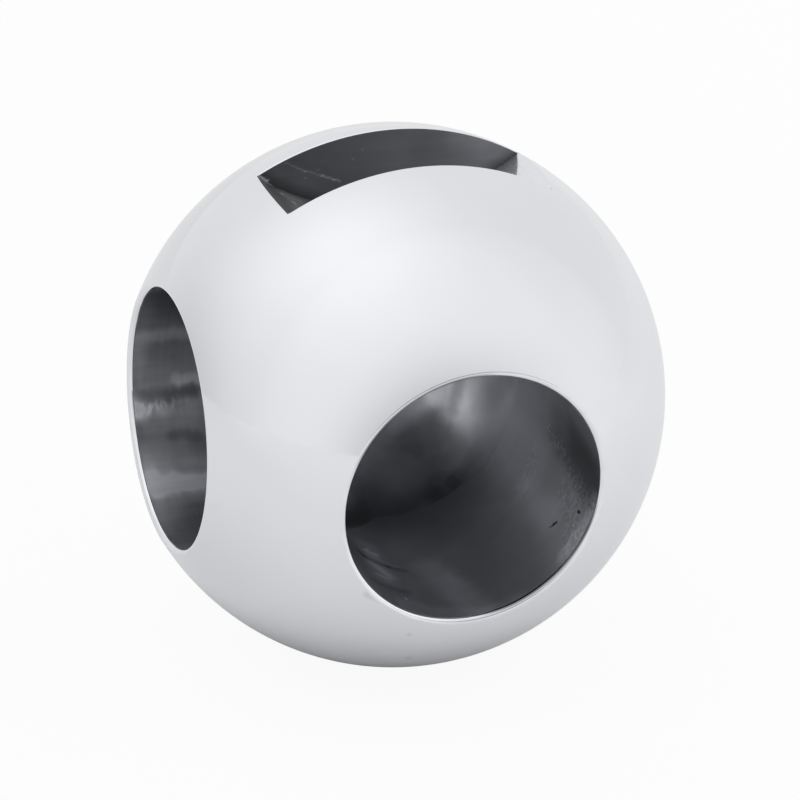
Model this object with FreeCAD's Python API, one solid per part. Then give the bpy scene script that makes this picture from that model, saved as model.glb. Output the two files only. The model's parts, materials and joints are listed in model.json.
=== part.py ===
import FreeCAD, Part
import math
import os

# L-port valve ball for a DN 40 three-way ball valve. It is one steel casting,
# turned and ground on the outside, bored from two sides, with a milled slot
# for the stem. Millimetres, +Z up.
#
# The origin is the centre of the sphere. +Z is the stem's axis and points out
# of the slot. One port opens toward -Y (front) and one toward -X (side).

# The sphere that the valve's seats close on
BALL_DIAMETER = 80.0

# The two bores and the rounded edge that buffing leaves round each mouth
BORE_DIAMETER = 38.0
PORT_EDGE_RADIUS = 0.7

# Each bore stops this far short of the centre, where it runs into the corner
# that the casting's core left
BORE_STOP = 2.0

# The slot that the stem's flat tongue drives. A disc cutter is sunk straight
# down into the ball, so the slot's floor and ends are one arc. It runs along X.
SLOT_WIDTH = 14.0
SLOT_DEPTH = 12.7
SLOT_CUTTER_DIAMETER = 68.0
SLOT_EDGE_BREAK = 0.15

# How far a cutter runs on past the surface that it cuts
OVERRUN = 5.0

CENTRE = FreeCAD.Vector(0, 0, 0)
FRONT = FreeCAD.Vector(0, -1, 0)
SIDE = FreeCAD.Vector(-1, 0, 0)
STEM_AXIS = FreeCAD.Vector(0, 0, 1)

ball_radius = BALL_DIAMETER / 2
bore_radius = BORE_DIAMETER / 2


def bore_cutter(direction):
    """A straight bore from where the boring stops to outside the ball."""
    length = ball_radius + OVERRUN - BORE_STOP
    return Part.makeCylinder(bore_radius, length, direction * BORE_STOP, direction)


def elbow_core():
    """The ball-shaped corner of the passage, which meets both bores where they stop."""
    return Part.makeSphere(math.hypot(bore_radius, BORE_STOP), CENTRE, FRONT)


def slot_cutter():
    """The disc that cuts the stem slot, at the end of its travel."""
    cutter_radius = SLOT_CUTTER_DIAMETER / 2
    height = ball_radius - SLOT_DEPTH + cutter_radius
    hub = FreeCAD.Vector(0, -SLOT_WIDTH / 2, height)
    return Part.makeCylinder(cutter_radius, SLOT_WIDTH, hub, -FRONT)


def points_on(edge):
    """The two ends of an edge and its middle."""
    start, end = edge.FirstParameter, edge.LastParameter
    return [edge.valueAt(where) for where in (start, end, (start + end) / 2)]


def mouths(ball):
    """The edges where the bores come out through the sphere."""
    edges = []
    for edge in ball.Edges:
        for direction in (FRONT, SIDE):
            at_mouth = all(
                abs(point.Length - ball_radius) < 0.01
                and point.dot(direction) > bore_radius
                and abs(point.cross(direction).Length - bore_radius) < 0.01
                for point in points_on(edge)
            )
            if at_mouth:
                edges.append(edge)
    return edges


def slot_rim(ball):
    """The edges where the slot comes out through the sphere."""
    edges = []
    for edge in ball.Edges:
        points = points_on(edge)
        on_sphere = all(abs(point.Length - ball_radius) < 0.01 for point in points)
        in_slot = all(abs(point.y) < SLOT_WIDTH / 2 + 0.01 for point in points)
        if on_sphere and in_slot and points[2].z > 0:
            edges.append(edge)
    return edges


def valve_ball():
    sphere = Part.makeSphere(ball_radius, CENTRE, FRONT)
    passage = bore_cutter(FRONT).fuse([bore_cutter(SIDE), elbow_core()])
    ball = sphere.cut(passage)
    print("mouth edges:", len(mouths(ball)))
    ball = ball.makeFillet(PORT_EDGE_RADIUS, mouths(ball)).cut(slot_cutter())
    rim = slot_rim(ball)
    print("slot rim edges:", len(rim))
    return ball.makeChamfer(SLOT_EDGE_BREAK, rim)


def write(shape, node):
    solids = shape.Solids
    if len(solids) != 1 or not solids[0].isValid():
        raise ValueError(node + " is not one valid solid")
    os.makedirs("parts", exist_ok=True)
    solids[0].exportStep("parts/" + node + ".step")
    print(node, "volume", round(solids[0].Volume, 1), "mm3, faces", len(solids[0].Faces))


write(valve_ball(), "valve_ball")
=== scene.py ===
# %% [markdown]
# # An L-port valve ball
#
# A three-way ball valve turns this ball to send the flow round a corner. It is one
# steel casting. Its outside is ground and polished to a mirror, because that is what
# seals against the seats, while the passage is only bored and the slot only milled.
# The piece is easy to outline and hard to finish: a mirror shows every facet and
# whatever stands round it, so the mesh and the light need as much care as the steel.

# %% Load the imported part
import json
import math

import bpy
from mathutils import Matrix, Vector


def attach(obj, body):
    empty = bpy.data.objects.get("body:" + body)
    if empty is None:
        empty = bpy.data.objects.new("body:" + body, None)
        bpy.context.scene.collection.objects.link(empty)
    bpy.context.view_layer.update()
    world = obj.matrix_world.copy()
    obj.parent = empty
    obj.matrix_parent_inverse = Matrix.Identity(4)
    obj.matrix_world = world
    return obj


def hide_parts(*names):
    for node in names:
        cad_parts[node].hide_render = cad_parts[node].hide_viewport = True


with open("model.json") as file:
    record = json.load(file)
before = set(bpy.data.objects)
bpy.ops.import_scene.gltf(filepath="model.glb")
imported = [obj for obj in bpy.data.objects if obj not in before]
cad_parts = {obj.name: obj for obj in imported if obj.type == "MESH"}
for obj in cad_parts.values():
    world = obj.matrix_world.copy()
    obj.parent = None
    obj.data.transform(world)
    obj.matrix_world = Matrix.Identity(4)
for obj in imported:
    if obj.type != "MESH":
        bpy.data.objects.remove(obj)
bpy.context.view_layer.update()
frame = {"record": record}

mounts = {mount["name"]: mount for mount in frame["record"]["mounts"]}
MM = 0.001
BALL_RADIUS = mounts["seat_sphere"]["dims"]["r_mm"] * MM
BORE_RADIUS = mounts["front_port"]["dims"]["r_mm"] * MM
print("ball radius", BALL_RADIUS, "bore radius", BORE_RADIUS)

# %% [markdown]
# ## Sizes
#
# The frame gives the sphere, the bores and the height of the slot's floor. The other
# sizes are those of the cutters, in metres: the radius of the rounded edge that
# buffing leaves round each mouth, where the boring stops short of the centre, and the
# disc that sinks the slot.

# %% Name the sizes
PORT_EDGE_RADIUS = 0.7 * MM
BORE_STOP = 2.0 * MM
SLOT_WIDTH = 14.0 * MM
SLOT_CUTTER_RADIUS = 34.0 * MM
SLOT_FLOOR = mounts["stem_slot"]["pos_m"][2]
SLOT_EDGE_BREAK = 0.15 * MM
OVERRUN = 5.0 * MM
CORNER_RADIUS = math.hypot(BORE_RADIUS, BORE_STOP)
CUTTER_HEIGHT = SLOT_FLOOR + SLOT_CUTTER_RADIUS
QUARTER = math.pi / 2
# How many facets a full circle has
STEPS = 180
print("slot floor at", round(SLOT_FLOOR, 5), "disc centre at", round(CUTTER_HEIGHT, 5))

# %% [markdown]
# ## The sphere and its cutters
#
# The ball could be drawn as one profile and spun, but the slot and the second bore
# cross it at a right angle. So it is made as in the shop: a round blank, and cutters
# that take away the rest. The sphere's poles lie on the Y axis, so its rings run
# parallel to the front mouth and to the slot's walls and are cut cleanly by both.
# Each bar is turned by half a step, so that no vertex falls on an edge of the ball.

# %% Helpers for primitives
bpy.ops.object.select_all(action="DESELECT")


def named(name):
    """Names the primitive that was just added and moves its place into its mesh."""
    piece = bpy.context.object
    piece.name = name
    bpy.ops.object.transform_apply(location=True, rotation=True, scale=True)
    return piece


def sphere(name, radius):
    """A round blank whose poles lie on the Y axis."""
    bpy.ops.mesh.primitive_uv_sphere_add(
        segments=STEPS, ring_count=STEPS // 2, radius=radius, rotation=(QUARTER, 0, 0)
    )
    return named(name)


def pick(piece, test):
    """In edit mode, selects the vertices whose place passes the test."""
    bpy.ops.mesh.select_all(action="DESELECT")
    bpy.ops.object.mode_set(mode="OBJECT")
    for vertex in piece.data.vertices:
        vertex.select = test(vertex.co)
    bpy.ops.object.mode_set(mode="EDIT")


# %% The rounded edge of a mouth
# The middle of the rounding, from the bore's axis and along it from the centre
EDGE_OUT = BORE_RADIUS + PORT_EDGE_RADIUS
EDGE_REACH = math.sqrt((BALL_RADIUS - PORT_EDGE_RADIUS) ** 2 - EDGE_OUT**2)
# A full rounding turns from the bore's wall to the sphere. The bar's stops a little
# short of it, because two surfaces that only touch are not cut cleanly.
FULL_TURN = QUARTER + math.atan2(EDGE_OUT, EDGE_REACH)
TURN_LEFT_OUT = math.radians(10)
EDGE_TURN = FULL_TURN - TURN_LEFT_OUT
EDGE_STEPS = 12


def edge_ring(angle):
    """The radius and the reach of the rounding after it has turned by an angle."""
    return (
        EDGE_OUT - PORT_EDGE_RADIUS * math.cos(angle),
        EDGE_REACH + PORT_EDGE_RADIUS * math.sin(angle),
    )


MOUTH_RADIUS, MOUTH_REACH = edge_ring(EDGE_TURN)
print("mouth radius", round(MOUTH_RADIUS, 5), "at", round(MOUTH_REACH, 5))

# %% The shapes of the cutters
def boring_bar(name):
    """A bore's cutter, which lies along -Y and flares round the edge of the mouth."""
    bpy.ops.mesh.primitive_cylinder_add(
        vertices=STEPS,
        radius=BORE_RADIUS,
        depth=EDGE_REACH,
        location=(0, -EDGE_REACH / 2, 0),
        rotation=(QUARTER, math.pi / STEPS, 0),
    )
    bar = named(name)
    rings = [edge_ring(EDGE_TURN * step / EDGE_STEPS) for step in range(1, EDGE_STEPS + 1)]
    # The last ring lies outside the ball, in line with its centre and the mouth's edge
    outside = (BALL_RADIUS + OVERRUN) / MOUTH_REACH
    rings.append((MOUTH_RADIUS * outside, MOUTH_REACH * outside))
    bpy.ops.object.mode_set(mode="EDIT")
    bpy.ops.mesh.select_mode(type="VERT")
    pick(bar, lambda place: place.y < -EDGE_REACH + MM)
    radius, reach = BORE_RADIUS, EDGE_REACH
    for wider, further in rings:
        bpy.ops.mesh.extrude_region_move(
            TRANSFORM_OT_translate={"value": (0, reach - further, 0)}
        )
        bpy.ops.transform.resize(value=(wider / radius, 1, wider / radius))
        radius, reach = wider, further
    bpy.ops.object.mode_set(mode="OBJECT")
    return bar


def disc_cutter(name):
    """The disc that sinks the slot, with its axis along Y."""
    bpy.ops.mesh.primitive_cylinder_add(
        vertices=2 * STEPS,
        radius=SLOT_CUTTER_RADIUS,
        depth=SLOT_WIDTH,
        location=(0, 0, CUTTER_HEIGHT),
        rotation=(QUARTER, 0, 0),
    )
    return named(name)


# %% Add the blank and the cutters
ball = sphere("valve_ball_finished", BALL_RADIUS)
front_bar = boring_bar("front_bar")
side_bar = boring_bar("side_bar")
side_bar.rotation_euler = (0, 0, -QUARTER)
bpy.ops.object.transform_apply(location=False, rotation=True, scale=False)
corner = sphere("corner", CORNER_RADIUS)
disc = disc_cutter("slot_disc")
print("blank", len(ball.data.polygons), "faces")

# %% [markdown]
# ## Cutting
#
# In the shop the two bores and the slot are three settings of one casting. The holes
# could be drawn as loops of the sphere's own mesh, but two bores that meet inside it
# are hard to draw that way, so each cutter is a solid that a Boolean takes away. The
# exact solver is slow, but it leaves clean edges, and a mirror finish needs them.

# %% Cut the passage and the slot
def cut(piece, cutter):
    """Takes the cutter's shape out of the piece and puts the cutter away."""
    bpy.ops.object.select_all(action="DESELECT")
    piece.select_set(True)
    bpy.context.view_layer.objects.active = piece
    boolean = piece.modifiers.new("cut", "BOOLEAN")
    boolean.operation = "DIFFERENCE"
    boolean.solver = "EXACT"
    boolean.object = cutter
    bpy.ops.object.modifier_apply(modifier=boolean.name)
    bpy.data.objects.remove(cutter)
    print("cut", len(piece.data.polygons), "faces")


for cutter in (front_bar, side_bar, corner, disc):
    cut(ball, cutter)


# %% [markdown]
# ## Breaking the slot's edge
#
# A milled edge is sharp enough to cut a seat, so it is broken with a fine file. The
# bevel is too small to see as a face, but it is what draws the thin bright line
# along each side of the slot.

# %% Bevel the slot's long rims
# Points nearer than a sliver are one point, and a wall's points lie within a hair of it
SLIVER = 0.02 * MM
HAIR = 0.01 * MM


def on_sphere(place):
    """Whether a place lies on the outside of the ball."""
    return abs(place.length - BALL_RADIUS) < SLIVER


def on_wall(place):
    """Whether a place lies on a wall of the slot."""
    return place.z > 0 and abs(abs(place.y) - SLOT_WIDTH / 2) < HAIR


def bevel_rim(piece):
    """Breaks the edges between the slot's walls and the outside, and counts them."""
    bpy.ops.object.mode_set(mode="EDIT")
    bpy.ops.mesh.select_mode(type="EDGE")
    bpy.ops.mesh.select_all(action="SELECT")
    bpy.ops.mesh.remove_doubles(threshold=SLIVER)
    bpy.ops.mesh.select_all(action="DESELECT")
    bpy.ops.object.mode_set(mode="OBJECT")
    places = [vertex.co for vertex in piece.data.vertices]
    rim = 0
    for edge in piece.data.edges:
        ends = [places[index] for index in edge.vertices]
        edge.select = all(on_sphere(end) and on_wall(end) for end in ends)
        rim += edge.select
    bpy.ops.object.mode_set(mode="EDIT")
    bpy.ops.mesh.bevel(offset=SLOT_EDGE_BREAK, offset_type="OFFSET", segments=1)
    bpy.ops.object.mode_set(mode="OBJECT")
    return rim


print("slot rim edges", bevel_rim(ball))

# %% [markdown]
# ## Sorting the faces
#
# A lathe, a mill and a foundry each leave their own surface, so each face gets the
# finish of the tool that made it. Its place tells which one that was. A painted mask
# could do the same, but the real borders are sharp edges of the shape itself.
#
# The same test gives the true normal at each corner. A smoothed facet only comes near
# it, and near a cut edge the long thin facets would show as streaks in the mirror.

# %% Name the surfaces
FRONT = Vector((0, -1, 0))
SIDE = Vector((-1, 0, 0))
# How far a facet's middle may lie from its surface, and the cosine of facing alike
NEAR = 0.03 * MM
ALIKE = 0.99


def across(place, axis):
    """The part of a place that lies at a right angle to the axis."""
    return place - axis * place.dot(axis)


def surface_of(place, facing):
    """The name of the surface that a face belongs to, from its middle and normal."""
    in_slot = place.z > SLOT_FLOOR - MM and abs(place.y) < SLOT_WIDTH / 2 + HAIR
    if in_slot and abs(facing.y) > ALIKE:
        return "slot_wall"
    if in_slot and abs(place.length - BALL_RADIUS) > SLOT_EDGE_BREAK:
        return "slot_floor"
    for name, axis in (("front", FRONT), ("side", SIDE)):
        reach = place.dot(axis)
        width = across(place, axis).length
        if BORE_STOP < reach < EDGE_REACH and abs(width - BORE_RADIUS) < NEAR:
            return name + "_bore"
        if reach > EDGE_REACH and width < MOUTH_RADIUS:
            return name + "_edge"
    if abs(place.length - CORNER_RADIUS) < NEAR:
        return "corner"
    if abs(place.length - BALL_RADIUS) < NEAR and facing.dot(place.normalized()) > ALIKE:
        return "outside"
    return "slot_edge"


# %% Find the true normals
def true_normal(surface, place, facing):
    """The way the real surface faces at a place, or the facet's own way where flat."""
    if surface == "outside":
        return place.normalized()
    if surface == "corner":
        return -place.normalized()
    if surface == "slot_floor":
        return Vector((-place.x, 0, CUTTER_HEIGHT - place.z)).normalized()
    if surface in ("front_bore", "front_edge", "side_bore", "side_edge"):
        axis = FRONT if surface.startswith("front") else SIDE
        outward = across(place, axis)
        inward = -outward.normalized()
        if surface.endswith("bore"):
            return inward
        rise = place.dot(axis) - EDGE_REACH
        turn = math.atan2(rise, EDGE_OUT - outward.length) * FULL_TURN / EDGE_TURN
        return inward * math.cos(turn) + axis * math.sin(turn)
    return facing


# %% Give each surface its finish
FINISH_OF = {
    "outside": "polished_steel",
    "slot_edge": "polished_steel",
    "front_edge": "buffed_edge",
    "side_edge": "buffed_edge",
    "front_bore": "front_bore_steel",
    "side_bore": "side_bore_steel",
    "corner": "cast_corner_steel",
    "slot_wall": "milled_wall_steel",
    "slot_floor": "milled_floor_steel",
}
FINISHES = list(dict.fromkeys(FINISH_OF.values()))
print(len(FINISH_OF), "surfaces in", len(FINISHES), "finishes")


def sort_faces(piece):
    """Gives each face its finish and each of its corners the true normal."""
    mesh = piece.data
    count = {}
    normals = [None] * len(mesh.loops)
    for face in mesh.polygons:
        surface = surface_of(face.center, face.normal)
        count[surface] = count.get(surface, 0) + 1
        face.material_index = FINISHES.index(FINISH_OF[surface])
        face.use_smooth = True
        for index in face.loop_indices:
            place = mesh.vertices[mesh.loops[index].vertex_index].co
            normals[index] = true_normal(surface, place, face.normal)
    mesh.normals_split_custom_set(normals)
    return count


# %% [markdown]
# ## Camera
#
# A camera close by would swell the near side of the ball. A long lens from far off
# keeps its outline nearly round. It stands at the front left and looks down, so that
# both ports and the slot show. Its place is given in ball radii and its angles are
# set one after another: a turn to the right, a tip down and a slight roll.

# %% Camera
CAMERA_TURN = math.radians(-21.15)
CAMERA_RISE = math.radians(25.88)
CAMERA_ROLL = math.radians(3.4)
CAMERA_PLACE = Vector((-5.353, -13.918, 7.214)) * BALL_RADIUS
CAMERA_LENS = 203.05


def place_camera():
    """Adds the camera and makes it the scene's own."""
    bpy.ops.object.camera_add(location=CAMERA_PLACE)
    camera = bpy.context.object
    turn = Matrix.Rotation(CAMERA_TURN, 3, "Z")
    tip = Matrix.Rotation(QUARTER - CAMERA_RISE, 3, "X")
    roll = Matrix.Rotation(CAMERA_ROLL, 3, "Z")
    camera.rotation_euler = (turn @ tip @ roll).to_euler()
    camera.data.lens = CAMERA_LENS
    camera.data.sensor_width = 36.0
    camera.data.clip_end = 10
    bpy.context.scene.camera = camera


place_camera()
print("camera", round(CAMERA_PLACE.length, 3), "m from the ball, lens", CAMERA_LENS, "mm")
bpy.context.scene.view_settings.view_transform = "Standard"

# %% [markdown]
# ## Maths on sockets
#
# A shader is a web of nodes, and drawing it by hand hides what it works out. This
# class wraps a socket, so that `1 - mask` adds the Math node for it.

# %% Write shader maths as expressions
class Wire:
    """What comes out of a socket. Each sum on it adds a Math node to its board."""

    def __init__(self, board, socket):
        self.board = board
        self.socket = socket

    def math(self, operation, first, second):
        settings = {"operation": operation}
        return self.board.node("ShaderNodeMath", settings, {0: first, 1: second})

    def __add__(self, other):
        return self.math("ADD", self, other)

    def __radd__(self, other):
        return self.math("ADD", other, self)

    def __sub__(self, other):
        return self.math("SUBTRACT", self, other)

    def __rsub__(self, other):
        return self.math("SUBTRACT", other, self)

    def __mul__(self, other):
        return self.math("MULTIPLY", self, other)

    def __rmul__(self, other):
        return self.math("MULTIPLY", other, self)

    def __truediv__(self, other):
        return self.math("DIVIDE", self, other)

    def __rtruediv__(self, other):
        return self.math("DIVIDE", other, self)

    def __pow__(self, other):
        return self.math("POWER", self, other)

    def __rpow__(self, other):
        return self.math("POWER", other, self)

    def most(self, other):
        """The higher of two values."""
        return self.math("MAXIMUM", self, other)

    def least(self, other):
        """The lower of two values."""
        return self.math("MINIMUM", self, other)

    def step(self, low, high, start=0.0, end=1.0):
        """Runs smoothly from start to end as this value goes from low to high."""
        settings = {"interpolation_type": "SMOOTHSTEP"}
        sockets = {0: self, 1: low, 2: high, 3: start, 4: end}
        return self.board.node("ShaderNodeMapRange", settings, sockets)


class Board:
    """The node tree of a material or of the world."""

    def __init__(self, owner):
        owner.use_nodes = True
        self.tree = owner.node_tree

    def node(self, kind, settings=None, sockets=None, output=0):
        """Adds a node: its settings first, then the values or links of its sockets."""
        added = self.tree.nodes.new(kind)
        for name, value in (settings or {}).items():
            setattr(added, name, value)
        for name, value in (sockets or {}).items():
            self.plug(added.inputs[name], value)
        return Wire(self, added.outputs[output])

    def vector(self, operation, *values, output=0):
        """Adds a Vector Math node."""
        settings = {"operation": operation}
        return self.node("ShaderNodeVectorMath", settings, dict(enumerate(values)), output)

    def coordinate(self, place, axis):
        """One number of a place: 0 is its X, 1 its Y and 2 its Z."""
        return self.node("ShaderNodeSeparateXYZ", None, {0: place}, output=axis)

    def plug(self, socket, value):
        """Links a wire to a socket, or writes a plain value into it."""
        if isinstance(value, Wire):
            self.tree.links.new(value.socket, socket)
        else:
            socket.default_value = value


# %% [markdown]
# ## Starting a steel
#
# All finishes are the same steel, so they start alike: full metal, and a cool tint
# whose brightness each finish varies. The passage and the slot's walls lie in shade,
# and a bluer tint is painted into their grey for the bluer colour of that shade.
# Patterns come from noise on the ball's own coordinates, in metres, so their scale is
# the real one and they stay on the steel when it turns.

# %% Start a steel
def start_steel(name):
    """A new metal with its board, its shader and Object coordinates."""
    material = bpy.data.materials.new(name)
    board = Board(material)
    shader = board.tree.nodes["Principled BSDF"]
    shader.inputs["Metallic"].default_value = 1
    place = board.node("ShaderNodeTexCoord", output="Object")
    return material, board, shader, place


def noise(board, place, scale, detail=2.0, output=0):
    """Smooth random values about 0.5, with a scale, or one for each axis, per metre."""
    if not isinstance(scale, tuple):
        scale = (scale, scale, scale)
    stretched = board.vector("MULTIPLY", place, scale)
    sockets = {"Vector": stretched, "Scale": 1.0, "Detail": detail}
    return board.node("ShaderNodeTexNoise", None, sockets, output)


BLACK = (0, 0, 0, 1)
WHITE = (1, 1, 1, 1)
STEEL_TINT = (0.987, 0.99, 1.022, 1)
# A bluer tint for the steel in the passage and the slot: painted shade colour
PAINTED_SHADE_TINT = (0.97, 0.984, 1.043, 1)


def blend(board, factor, first, second):
    """Runs from the first colour to the second as the factor goes from 0 to 1."""
    # A Mix node has sockets for each kind of data, so its colours go by number
    sockets = {0: factor, 6: first, 7: second}
    return board.node("ShaderNodeMix", {"data_type": "RGBA"}, sockets, output=2)


def set_grey(board, shader, brightness, tint=STEEL_TINT):
    """Gives the steel its brightness, from 0 to 1, in a cool tint."""
    tinted = blend(board, brightness, BLACK, tint)
    board.plug(shader.inputs["Base Color"], tinted)


def bump(board, height, distance):
    """A normal that is tipped as if the height, times the distance, stood out."""
    sockets = {"Strength": 1.0, "Distance": distance, "Height": height}
    return board.node("ShaderNodeBump", None, sockets)


# %% [markdown]
# ## Marks
#
# The ball has a history, and its passage has light and shade painted into its steel.
# In the passage the core left its skin in the corner, and marks lighten the steel where
# highlights and reflections fall and darken it where shade falls. The slot has a
# scratch and specks, with some painted highlights and shade, and the polish a few
# smudges. Painting them would need a picture, so each mark is one line on the steel,
# with a soft edge, that lightens or darkens it by a number of stops, as in photography.
# A little noise frays the marks, or they look drawn.
#
# A mark is written as its start and its end, its core and its reach, all in
# millimetres, and its stops. It is full as far as its core and gone at its reach. The
# broad marks of the passage were fitted: their places, widths and stops were changed
# until a render was as bright there as the real ball.

# %% Marks on the steel
def streak(board, place, start, end, core, reach):
    """1 on a line between two places, and 0 beyond its reach. All are in millimetres."""
    start, end = Vector(start) * MM, Vector(end) * MM
    line = end - start
    out = board.vector("SUBTRACT", place, start)
    share = board.vector("DOT_PRODUCT", out, line / line.length_squared, output=1)
    nearest = board.vector("MULTIPLY", line, share.most(0.0).least(1.0))
    away = board.vector("DISTANCE", out, nearest, output=1)
    return away.step(core * MM, reach * MM, 1.0, 0.0)


def frayed(board, place, scale, distance):
    """The place, moved at random by up to about half of a distance."""
    shake = noise(board, place, scale, output=1)
    shake = board.vector("MULTIPLY_ADD", shake, (2 * distance,) * 3, (-distance,) * 3)
    return board.vector("ADD", place, shake)


def marked(board, place, marks, scale, distance):
    """The stops of all the marks, frayed by noise of that scale and distance."""
    place = frayed(board, place, scale, distance)
    stops = 0.0
    for start, end, core, reach, strength in marks:
        stops = streak(board, place, start, end, core, reach) * strength + stops
    return stops


# %% [markdown]
# ## Polished steel
#
# Ground and buffed, the outside is close to a mirror. What is left of the steel is a
# cool tint, a haze that comes and goes, and a few smudges, so only those vary.

# %% Polished steel
# How bright the steel is, from 0 to 1, its roughness, and what haze adds to both
POLISH_GREY, POLISH_GREY_HAZE = 0.87, 0.015
POLISH_ROUGHNESS, POLISH_ROUGHNESS_HAZE = 0.06, 0.03
POLISH_MARKS = (
    ((-15.3, -34.5, -13.2), (-13.4, -34.9, -14.3), 0.1, 0.9, -0.22),
    ((-7.9, -32.8, -21.5), (-7.8, -32.7, -21.9), 0.0, 0.6, -0.25),
    ((-5.7, -27.6, -28.4), (-5.5, -27.2, -28.9), 0.1, 0.8, -0.25),
)


def polished_steel():
    material, board, shader, place = start_steel("polished_steel")
    haze = noise(board, place, 55).step(0.35, 0.65)
    stops = marked(board, place, POLISH_MARKS, 1200, 0.3 * MM)
    set_grey(board, shader, (haze * POLISH_GREY_HAZE + POLISH_GREY) * 2**stops)
    roughness = haze * POLISH_ROUGHNESS_HAZE + POLISH_ROUGHNESS
    board.plug(shader.inputs["Roughness"], roughness)
    return material


# %% [markdown]
# ## Buffed edge
#
# Each mouth is rounded by hand with a buffing wheel, so that it doesn't cut the seats.
# Round the front mouth, reflections are painted into the rim's grey: a painted
# highlight at its lower left, and painted dark reflections at its lower right and upper
# left.
# A ramp along the edge would need a UV map. The angle round the bore's axis and the
# distance from it say the same, and come straight from the place.

# %% Buffed edge
EDGE_GREY, EDGE_GREY_WEAR = 0.86, 0.04
EDGE_ROUGHNESS, EDGE_ROUGHNESS_WEAR = 0.08, 0.05
# The cosines of the angle from its middle between which a painted reflection ends
REFLECTION_SPAN = (0.75, 0.93)
# Each painted reflection: its angle round the front mouth, the radii in mm between
# which it ends, and its stops
EDGE_PAINTED_REFLECTIONS = (
    (225, 19.5, 19.75, 0.18),
    (315, 19.1, 19.3, -2.0),
    (122, 19.4, 19.75, -1.35),
)


def buffed_edge():
    material, board, shader, place = start_steel("buffed_edge")
    wear = noise(board, place, 400).step(0.35, 0.65)
    outward = board.vector("MULTIPLY", place, (1, 0, 1))
    radius = board.vector("LENGTH", outward, output=1)
    stops = 0.0
    # Each lightens or darkens the rim by a painted reflection at one angle round the mouth
    for angle, start, end, strength in EDGE_PAINTED_REFLECTIONS:
        angle = math.radians(angle)
        middle = (math.cos(angle), 0, math.sin(angle))
        near = board.vector("DOT_PRODUCT", outward, middle, output=1) / radius
        here = near.step(*REFLECTION_SPAN)
        stops = here * radius.step(start * MM, end * MM, strength, 0.0) + stops
    brightness = (wear * EDGE_GREY_WEAR + EDGE_GREY) * 2**stops
    set_grey(board, shader, brightness.least(1.0))
    roughness = wear * EDGE_ROUGHNESS_WEAR + EDGE_ROUGHNESS
    board.plug(shader.inputs["Roughness"], roughness)
    return material


# %% [markdown]
# ## The front bore
#
# A boring bar leaves rings as fine as its feed, which run round the bore. This bore
# cleans up only part of the way: at its right the casting was a little too wide for
# the bar, so the pebbled skin of the sand mould is left, with two pits in it.
# Opposite, something hard was dragged in and out, and left scratches.
#
# The broad marks are painted light and shade: they lighten the wall where highlights
# fall and darken it toward the corner, where shade falls.

# %% The front bore
FRONT_BORE_GREY = 0.445
FRONT_BORE_ROUGHNESS = 0.42
# How high the rings and the skin's pebbles stand
RING_HEIGHT = 0.0003 * MM
PEBBLE_HEIGHT = 0.03 * MM
# Painted light and shade: highlights lighten the wall, shade darkens it toward the corner
FRONT_BORE_PAINTED_LIGHT_AND_SHADE = (
    ((-5.6, 2.4, -18.2), (5.9, -2.4, -18.1), 2.0, 14.0, -1.06),
    ((-5.6, -44.9, -18.1), (4.9, -16.5, -18.3), 1.8, 10.8, -0.50),
    ((8.5, -28.4, -17.0), (11.1, -14.2, -15.4), 4.6, 8.3, -0.20),
    ((0.0, -8.2, -19.0), (-2.3, -15.3, -18.9), 5.9, 7.9, -0.14),
    ((17.3, -1.7, -7.9), (17.8, -12.2, -6.7), 2.4, 7.1, 0.29),
    ((19.0, -31.1, -0.3), (18.9, -19.5, 2.4), 0.9, 6.5, -1.20),
    ((18.7, -18.8, 3.5), (18.7, -19.9, 3.3), 0.6, 6.2, 0.87),
    ((16.1, -24.0, -10.0), (15.6, -15.1, -10.9), 0.6, 4.5, 0.32),
    ((4.9, -45.0, -18.4), (0.1, -18.9, -19.0), 0.4, 4.2, 0.49),
    ((8.5, -36.5, -17.0), (-7.3, -32.6, -17.5), 2.1, 4.2, 0.38),
    ((-8.9, -24.0, -16.8), (-7.7, -13.4, -17.4), 0.3, 3.3, 0.59),
    ((15.1, -32.7, -11.5), (18.8, -34.2, -3.0), 0.8, 2.2, 0.55),
)
# The scratches and the pits
FRONT_BORE_SCARS = (
    ((-8.7, -14.9, -16.9), (-7.8, -14.3, -17.3), 0.0, 0.3, 1.0),
    ((-8.5, -15.4, -17.0), (-7.3, -15.8, -17.5), 0.2, 1.0, 0.6),
    ((-8.8, -16.3, -16.8), (-4.7, -18.7, -18.4), 0.0, 0.4, 0.5),
    ((-10.3, -16.3, -16.0), (-9.8, -18.1, -16.3), 0.1, 0.6, -1.0),
    ((-9.8, -18.1, -16.3), (-6.5, -19.3, -17.9), 0.1, 0.7, -0.8),
    ((-6.5, -19.3, -17.9), (-4.0, -19.8, -18.6), 0.1, 0.8, -0.5),
    ((-9.3, -19.9, -16.5), (-7.2, -22.8, -17.6), 0.2, 1.5, 0.4),
    ((-9.9, -23.5, -16.2), (-7.8, -23.7, -17.3), 0.0, 0.3, 0.7),
    ((-12.0, -27.9, -14.8), (-6.5, -27.1, -17.9), 0.2, 1.2, -0.4),
    ((-7.5, -29.4, -17.4), (-7.4, -29.8, -17.5), 0.0, 0.3, 1.2),
    ((15.6, -25.8, -10.8), (16.0, -26.1, -10.3), 0.0, 0.25, -2.0),
    ((16.0, -26.1, -10.3), (16.3, -26.4, -9.8), 0.0, 0.35, -3.5),
    ((17.9, -30.2, -6.3), (17.9, -30.5, -6.3), 0.1, 0.35, -4.0),
    ((17.1, -30.6, -8.2), (17.1, -30.7, -8.2), 0.1, 0.3, 0.8),
)
# Where the casting's skin is left, and how much of it
CAST_SKIN = (
    ((19.0, -15.5, -0.7), (18.7, -33.0, -4.0), 0.5, 2.2, 0.8),
    ((18.2, -25.0, -5.5), (16.6, -33.0, -9.3), 1.0, 4.5, 0.5),
    ((16.0, -14.0, -10.3), (18.0, -12.0, -6.1), 0.5, 3.0, 0.3),
)


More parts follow.
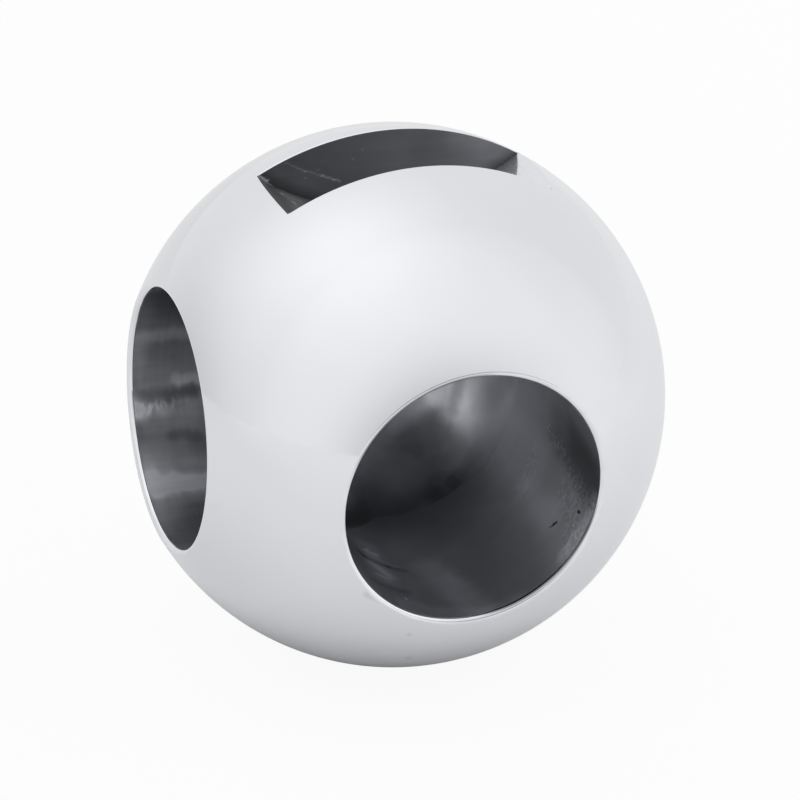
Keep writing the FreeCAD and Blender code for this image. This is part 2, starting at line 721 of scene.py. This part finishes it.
def front_bore_steel():
    material, board, shader, place = start_steel("front_bore_steel")
    rings = noise(board, place, (40, 2600, 40), 3.0)
    pebbles = noise(board, place, 1500, 1.0)
    tone = rings.step(0.3, 0.7)
    skin = marked(board, place, CAST_SKIN, 700, 0.8 * MM)
    # The painted light and shade of the bore
    stops = marked(board, place, FRONT_BORE_PAINTED_LIGHT_AND_SHADE, 300, 1.0 * MM)
    stops = stops + marked(board, place, FRONT_BORE_SCARS, 2000, 0.15 * MM)
    stops = stops + pebbles.step(0.35, 0.65, -0.4, 0.4) * skin
    set_grey(board, shader, (tone * 0.04 + 0.98) * 2**stops * FRONT_BORE_GREY, PAINTED_SHADE_TINT)
    board.plug(shader.inputs["Roughness"], tone * 0.03 + FRONT_BORE_ROUGHNESS)
    height = rings * RING_HEIGHT + pebbles * skin * PEBBLE_HEIGHT
    board.plug(shader.inputs["Normal"], bump(board, height, 1.0))
    return material


# %% [markdown]
# ## The side bore
#
# The same bar and feed, so the same rings. The wall is banded light and dark along
# the bore: the bands are painted reflections, as a turned bore mirrors its room in
# stripes. Thin lines run the same way, with a row of bright flecks where a hard grain
# jumped along. Noise that is stretched along the bore draws the lines, and short noise
# the flecks.

# %% The side bore
SIDE_BORE_GREY = 0.284
SIDE_BORE_ROUGHNESS = 0.48
# No place, with its painted reflections, is brighter than this
SIDE_BORE_LIMIT = 0.95
# Painted reflections: bands of light and dark that run along the bore
SIDE_BORE_PAINTED_REFLECTIONS = (
    ((-39.0, 1.7, -18.9), (-31.8, 8.6, -16.9), 0.7, 6.9, 0.93),
    ((-28.5, 16.8, -8.8), (-41.1, 10.7, 15.7), 2.6, 6.8, 0.50),
    ((-26.4, 15.6, 10.9), (-31.1, 12.9, 13.9), 0.7, 6.6, -0.96),
    ((-8.0, 6.8, -17.8), (-38.0, 13.0, -13.8), 2.0, 5.4, 0.94),
    ((4.6, 8.8, -16.8), (-6.4, -3.6, -18.7), 0.5, 4.4, -1.35),
    ((-34.2, 17.7, -6.9), (-37.8, 18.2, -5.3), 0.3, 3.5, 2.28),
    ((-34.1, 18.9, 1.7), (-32.9, 9.3, -16.6), 0.3, 2.8, 0.68),
    ((-30.9, 18.0, -6.2), (-30.0, 17.7, -7.0), 0.3, 2.6, 0.68),
    ((-19.6, 9.4, -16.5), (-29.4, 10.2, -16.0), 0.2, 2.4, 1.01),
    ((-19.5, 18.5, 4.5), (-34.0, 18.5, 4.4), 0.2, 2.3, 0.80),
    ((-25.0, 18.3, -5.2), (-33.0, 18.2, -5.5), 0.2, 1.8, -1.12),
    ((-23.7, 18.7, -3.5), (-27.0, 18.7, -3.2), 0.2, 1.6, 0.72),
    ((-28.8, 15.6, -10.9), (-24.9, 15.2, -11.3), 0.2, 1.6, -0.59),
)
# The row of flecks: its start, end, core and reach
FLECK_ROW = ((-33.5, 17.6, -7.2), (-27.0, 17.8, -6.6), 0.3, 1.6)


def side_bore_steel():
    material, board, shader, place = start_steel("side_bore_steel")
    rings = noise(board, place, (1500, 40, 40), 3.0)
    tone = rings.step(0.3, 0.7)
    lay = noise(board, place, (100, 800, 800), 3.0).step(0.3, 0.7)
    # The painted reflections of the bore
    stops = marked(board, place, SIDE_BORE_PAINTED_REFLECTIONS, (500, 150, 150), 0.8 * MM)
    flecks = noise(board, place, (1300, 500, 500), 2.0)
    stops = stops + flecks.step(0.38, 0.62, -0.15, 0.55) * streak(board, place, *FLECK_ROW)
    brightness = (tone * 0.08 + 0.96) * 2**stops * SIDE_BORE_GREY
    brightness = brightness.least(SIDE_BORE_LIMIT) * (lay * 0.12 + 0.93)
    set_grey(board, shader, brightness, PAINTED_SHADE_TINT)
    board.plug(shader.inputs["Roughness"], tone * 0.03 + SIDE_BORE_ROUGHNESS)
    board.plug(shader.inputs["Normal"], bump(board, rings, RING_HEIGHT))
    return material


# %% [markdown]
# ## The cast corner
#
# No bar reaches the place where the two bores meet. It keeps the skin of the casting's
# core, a fine even grain. Its light and shade are painted into the grey: a dark wedge
# of painted shade lies in its lowest part, with painted highlights above it.

# %% The cast corner
CORNER_GREY = 0.555
CORNER_ROUGHNESS = 0.4
SKIN_HEIGHT = 0.005 * MM
# Painted light and shade: the first mark is the wedge of shade, bright ones are highlights
CORNER_PAINTED_LIGHT_AND_SHADE = (
    ((2.2, -0.5, -19.0), (4.9, 2.6, -18.3), 4.2, 13.7, -1.63),
    ((8.0, 14.1, -10.1), (11.2, 7.9, -13.3), 1.8, 5.3, -0.78),
    ((15.5, 7.4, -8.3), (4.6, 5.6, -17.7), 1.3, 5.2, 0.44),
    ((11.6, 3.7, -14.7), (9.3, 10.4, -13.1), 0.6, 4.0, 0.56),
    ((19.0, 2.1, -0.2), (17.0, 6.2, -6.1), 0.4, 3.4, -0.40),
    ((-1.9, 16.8, -8.9), (11.4, 9.0, -12.4), 0.9, 3.3, -0.47),
    ((10.6, 13.5, -8.4), (6.8, 13.7, -11.4), 0.6, 3.2, 0.97),
    ((4.4, -4.7, -18.0), (5.7, -1.8, -18.1), 0.3, 2.5, 0.64),
    ((6.9, -0.8, -17.8), (11.2, 11.7, -10.1), 0.2, 2.4, -0.29),
    ((8.4, 9.0, -14.6), (0.5, 14.1, -12.9), 0.4, 2.0, -0.29),
    ((13.7, 9.9, -8.8), (14.9, 11.1, -4.5), 0.2, 1.8, -0.63),
    ((9.1, 2.4, -16.6), (10.3, 0.6, -16.1), 0.2, 1.4, 0.25),
    ((10.7, -0.8, -15.8), (10.6, 1.0, -15.9), 0.7, 1.3, -0.43),
)


def cast_corner_steel():
    material, board, shader, place = start_steel("cast_corner_steel")
    skin = noise(board, place, 500, 3.0)
    # The painted light and shade of the corner
    stops = marked(board, place, CORNER_PAINTED_LIGHT_AND_SHADE, 300, 1.0 * MM)
    set_grey(board, shader, (skin * 0.05 + 0.975) * 2**stops * CORNER_GREY, PAINTED_SHADE_TINT)
    shader.inputs["Roughness"].default_value = CORNER_ROUGHNESS
    board.plug(shader.inputs["Normal"], bump(board, skin, SKIN_HEIGHT))
    return material


# %% [markdown]
# ## The slot's walls
#
# The walls are cut by the side of the disc, which leaves a dull even grey. Where the
# wall meets the floor, shade is painted into the grey: it falls off by the distance from
# the disc's centre. One scratch and a few specks break it, with a painted highlight at
# the left corner, painted shade beside the scratch and painted light near the rim.

# %% The slot's walls
SLOT_WALL_GREY = 0.25
SLOT_WALL_ROUGHNESS = 0.5
# How far up the wall the painted shade reaches, and what it leaves of the grey at the
# floor
WALL_PAINTED_SHADE_HEIGHT = 2.2 * MM
WALL_PAINTED_SHADE = 0.55
# The scratch with its bright dots, specks, lighter patches, and painted light and shade
SLOT_WALL_MARKS_AND_PAINTED_LIGHT = (
    ((-15.7, 7.0, 35.4), (-12.7, 7.0, 33.9), 0.0, 0.3, 0.8),
    ((-12.7, 7.0, 33.9), (-10.1, 7.0, 32.9), 0.0, 0.3, 0.6),
    ((-10.1, 7.0, 32.9), (-7.3, 7.0, 31.8), 0.0, 0.3, 0.9),
    ((-8.4, 7.0, 32.1), (-8.2, 7.0, 32.1), 0.0, 0.3, 0.9),
    # A painted highlight at the left corner, where the wall meets the floor
    ((-19.8, 7.0, 33.9), (-18.4, 7.0, 32.9), 0.0, 0.4, 2.6),
    # Painted shade beside the scratch
    ((-15.2, 7.0, 35.8), (-9.5, 7.0, 33.6), 0.2, 1.3, -0.15),
    ((-11.0, 7.0, 32.5), (0.0, 7.0, 34.0), 1.5, 5.0, 0.25),
    ((-10.9, 7.0, 33.9), (-10.8, 7.0, 34.0), 0.0, 0.25, 0.9),
    ((-12.8, 7.0, 32.8), (-12.5, 7.0, 32.8), 0.0, 0.25, 0.8),
    ((-5.6, 7.0, 35.1), (-5.5, 7.0, 35.2), 0.0, 0.25, 0.7),
    ((-4.1, 7.0, 36.5), (-4.0, 7.0, 36.4), 0.0, 0.25, 0.5),
    ((10.5, 7.0, 36.9), (14.0, 7.0, 36.0), 0.4, 3.0, 0.3),
    # Painted light along the top of the wall, near the rim
    ((-7.0, 7.0, 38.6), (2.0, 7.0, 38.6), 0.5, 4.0, 0.15),
)


def milled_wall_steel():
    material, board, shader, place = start_steel("milled_wall_steel")
    lines = noise(board, place, (60, 60, 1500), 3.0)
    along = board.coordinate(place, 0)
    down = CUTTER_HEIGHT - board.coordinate(place, 2)
    from_hub = (along * along + down * down) ** 0.5
    # Painted shade at the foot of the wall, from where it starts down to the floor
    shade_starts = SLOT_CUTTER_RADIUS - WALL_PAINTED_SHADE_HEIGHT
    painted_foot_shade = from_hub.step(shade_starts, SLOT_CUTTER_RADIUS, 1.0, WALL_PAINTED_SHADE)
    stops = marked(board, place, SLOT_WALL_MARKS_AND_PAINTED_LIGHT, 1200, 0.3 * MM)
    brightness = (lines * 0.05 + SLOT_WALL_GREY) * painted_foot_shade * 2**stops
    set_grey(board, shader, brightness, PAINTED_SHADE_TINT)
    shader.inputs["Roughness"].default_value = SLOT_WALL_ROUGHNESS
    return material


# %% [markdown]
# ## The slot's floor
#
# The floor is cut by the disc's rim. It is dull at its left end and bright at its
# right end, where the stem's tongue has rubbed it, with fine specks in the shine. Two
# ramps along the slot do this, one for the grey and one for the roughness.

# %% The slot's floor
# How wide the painted shade at the walls' feet is, and what it leaves of the grey
FLOOR_PAINTED_SHADE_WIDTH = 0.8 * MM
FLOOR_PAINTED_SHADE = 0.6
# From where to where along the slot a value changes, in metres, and from what to what
DULL_END = (-0.0185, -0.0155, 0.185, 0.36)
BRIGHT_END = (-0.005, 0.01, 0.0, 0.49)
MATT_TO_POLISHED = (0.005, 0.015, 0.4, 0.05)
SPECK_ROUGHNESS = 0.25
# A painted highlight, a lighter band and specks
SLOT_FLOOR_MARKS_AND_HIGHLIGHT = (
    # A painted highlight at the left corner, where the floor meets the wall
    ((-19.6, 6.9, 33.6), (-18.1, 6.6, 32.5), 0.1, 0.8, 2.0),
    ((-17.9, 4.3, 32.3), (-14.5, 4.5, 30.6), 0.2, 1.6, 0.4),
    ((-17.2, 4.3, 31.9), (-17.1, 4.2, 31.8), 0.1, 0.5, 1.3),
    ((-15.9, 2.5, 31.2), (-15.8, 2.4, 31.1), 0.1, 0.5, 1.0),
)


def milled_floor_steel():
    material, board, shader, place = start_steel("milled_floor_steel")
    specks = noise(board, place, 9000, 0.0).step(0.55, 0.6)
    lines = noise(board, place, (1500, 60, 60), 3.0)
    along = board.coordinate(place, 0)
    beside = board.coordinate(place, 1)
    from_middle = (beside * beside) ** 0.5
    wall = SLOT_WIDTH / 2
    # Painted shade where the floor meets the walls
    painted_foot_shade = from_middle.step(wall - FLOOR_PAINTED_SHADE_WIDTH, wall, 1.0, FLOOR_PAINTED_SHADE)
    shine = along.step(*DULL_END) + along.step(*BRIGHT_END)
    stops = marked(board, place, SLOT_FLOOR_MARKS_AND_HIGHLIGHT, 1200, 0.3 * MM)
    set_grey(board, shader, (lines * 0.04 + shine) * painted_foot_shade * 2**stops)
    roughness = along.step(*MATT_TO_POLISHED) + specks * SPECK_ROUGHNESS
    board.plug(shader.inputs["Roughness"], roughness)
    return material


# %% [markdown]
# ## Dressing the ball
#
# The finishes go into the ball's slots in a fixed order, and then each face is given
# the number of its own. Only now can the faces be sorted, because a number without a
# material behind it would show nothing.

# %% Give the faces their finishes
makers = {
    "polished_steel": polished_steel,
    "buffed_edge": buffed_edge,
    "front_bore_steel": front_bore_steel,
    "side_bore_steel": side_bore_steel,
    "cast_corner_steel": cast_corner_steel,
    "milled_wall_steel": milled_wall_steel,
    "milled_floor_steel": milled_floor_steel,
}
for name in FINISHES:
    ball.data.materials.append(makers[name]())
print("faces by surface", sort_faces(ball))

# %% [markdown]
# ## Floor
#
# A mirror ball shows its whole room, so the floor is part of the finish. It is sheet
# paper with painted light and shade in its tone: darker on the left and at the back,
# where less light reaches it, and a painted shadow under the ball. To the camera it is
# nearly white, because a glow is mixed in by the kind of ray, and the part of real
# paper that is left keeps the ball's shadow.

# %% What each kind of ray sees
MIRROR_GLOW = 0.04


def seen_by(board, camera_share):
    """A share for the rays from the camera, and a small one in mirrors and glass."""
    camera_ray = board.node("ShaderNodeLightPath", output="Is Camera Ray")
    glossy_ray = board.node("ShaderNodeLightPath", output="Is Glossy Ray")
    clear_ray = board.node("ShaderNodeLightPath", output="Is Transmission Ray")
    return camera_ray * camera_share + (glossy_ray + clear_ray) * MIRROR_GLOW


# %% Paper
FLOOR_GLOW = 0.93
# From where to where the painted light and shade change, in metres, and from what to what
PAINTED_LIGHT_TO_RIGHT = (-0.05, 0.3, 0.88, 0.97)
PAINTED_SHADE_TO_BACK = (-0.25, 0.15, 0.045, -0.035)
PAINTED_LIGHT_IN_FRONT = (-0.5, -0.05, 0.016, 0.0)
PAINTED_SHADOW_UNDER_BALL = (0.013, 0.034, 0.74, 1.0)
LIGHTEST_TONE = 0.99


def floor_paper():
    """Paper with painted light, shade and shadow in its tone, which glows for the camera.
    """
    material = bpy.data.materials.new("floor_white")
    board = Board(material)
    shader = board.tree.nodes["Principled BSDF"]
    place = board.node("ShaderNodeTexCoord", output="Object")
    right = board.coordinate(place, 0)
    back = board.coordinate(place, 1)
    from_ball = (right * right + back * back) ** 0.5
    # Painted light and shade: lighter to the right and in front, darker at the back
    tone = right.step(*PAINTED_LIGHT_TO_RIGHT) + back.step(*PAINTED_SHADE_TO_BACK)
    tone = tone + back.step(*PAINTED_LIGHT_IN_FRONT)
    # Painted shadow under the ball
    tone = tone.least(LIGHTEST_TONE) * from_ball.step(*PAINTED_SHADOW_UNDER_BALL)
    board.plug(shader.inputs["Base Color"], blend(board, tone, BLACK, WHITE))
    shader.inputs["Roughness"].default_value = 1
    share = seen_by(board, FLOOR_GLOW)
    glow = board.node("ShaderNodeEmission", None, {"Color": WHITE, "Strength": 1})
    paper = Wire(board, shader.outputs[0])
    shown = board.node("ShaderNodeMixShader", None, {0: share, 1: paper, 2: glow})
    board.plug(board.tree.nodes["Material Output"].inputs["Surface"], shown)
    return material


# %% Lay the floor under the ball
FLOOR_SIZE = 6.0
bpy.ops.mesh.primitive_plane_add(size=FLOOR_SIZE, location=(0, 0, -BALL_RADIUS))
floor = named("floor")
floor.data.materials.append(floor_paper())
print("floor", FLOOR_SIZE, "m wide, at", round(-BALL_RADIUS, 4))

# %% [markdown]
# ## Room light
#
# Lamps would show in the mirror as spots. A soft room has none, so the world itself
# is the light: an even grey, brightest high on the left, and dark behind the camera.
# Each lobe is one soft patch of light or shade. It fades with a power of the angle's
# cosine, so one dot product and one power make it.

# %% World
ROOM_LIGHT = 0.821
ROOM_TINT = (0.985, 0.995, 1.0, 1)
# Each lobe's turn from the back and rise, in degrees, its power and its strength
ROOM_LOBES = (
    (-70, 67, 4.7, 0.233),
    (170, 4, 0.57, 0.117),
    (174, -8, 5.3, -0.829),
    (-58, -10, 8.7, -0.250),
)


def room():
    """The world: plain white where it is seen, and the soft light everywhere else."""
    world = bpy.data.worlds.new("studio")
    bpy.context.scene.world = world
    board = Board(world)
    # In a world the first coordinates are the direction
    outward = board.node("ShaderNodeTexCoord", output=0)
    light = ROOM_LIGHT
    for turn, rise, power, strength in ROOM_LOBES:
        turn, rise = math.radians(turn), math.radians(rise)
        level = math.cos(rise)
        centre = (math.sin(turn) * level, math.cos(turn) * level, math.sin(rise))
        toward = board.vector("DOT_PRODUCT", outward, centre, output=1)
        light = light + toward.most(0.0) ** power * strength
    seen = seen_by(board, 1.0)
    backdrop = seen + (1 - seen) * light
    background = board.tree.nodes["Background"]
    board.plug(background.inputs["Color"], blend(board, seen, ROOM_TINT, WHITE))
    board.plug(background.inputs["Strength"], backdrop)


room()
print("room light", ROOM_LIGHT, "with", len(ROOM_LOBES), "lobes")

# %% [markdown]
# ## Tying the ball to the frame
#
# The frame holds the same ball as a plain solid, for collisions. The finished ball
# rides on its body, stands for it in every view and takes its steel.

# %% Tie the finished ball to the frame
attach(ball, "root")
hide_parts("valve_ball")
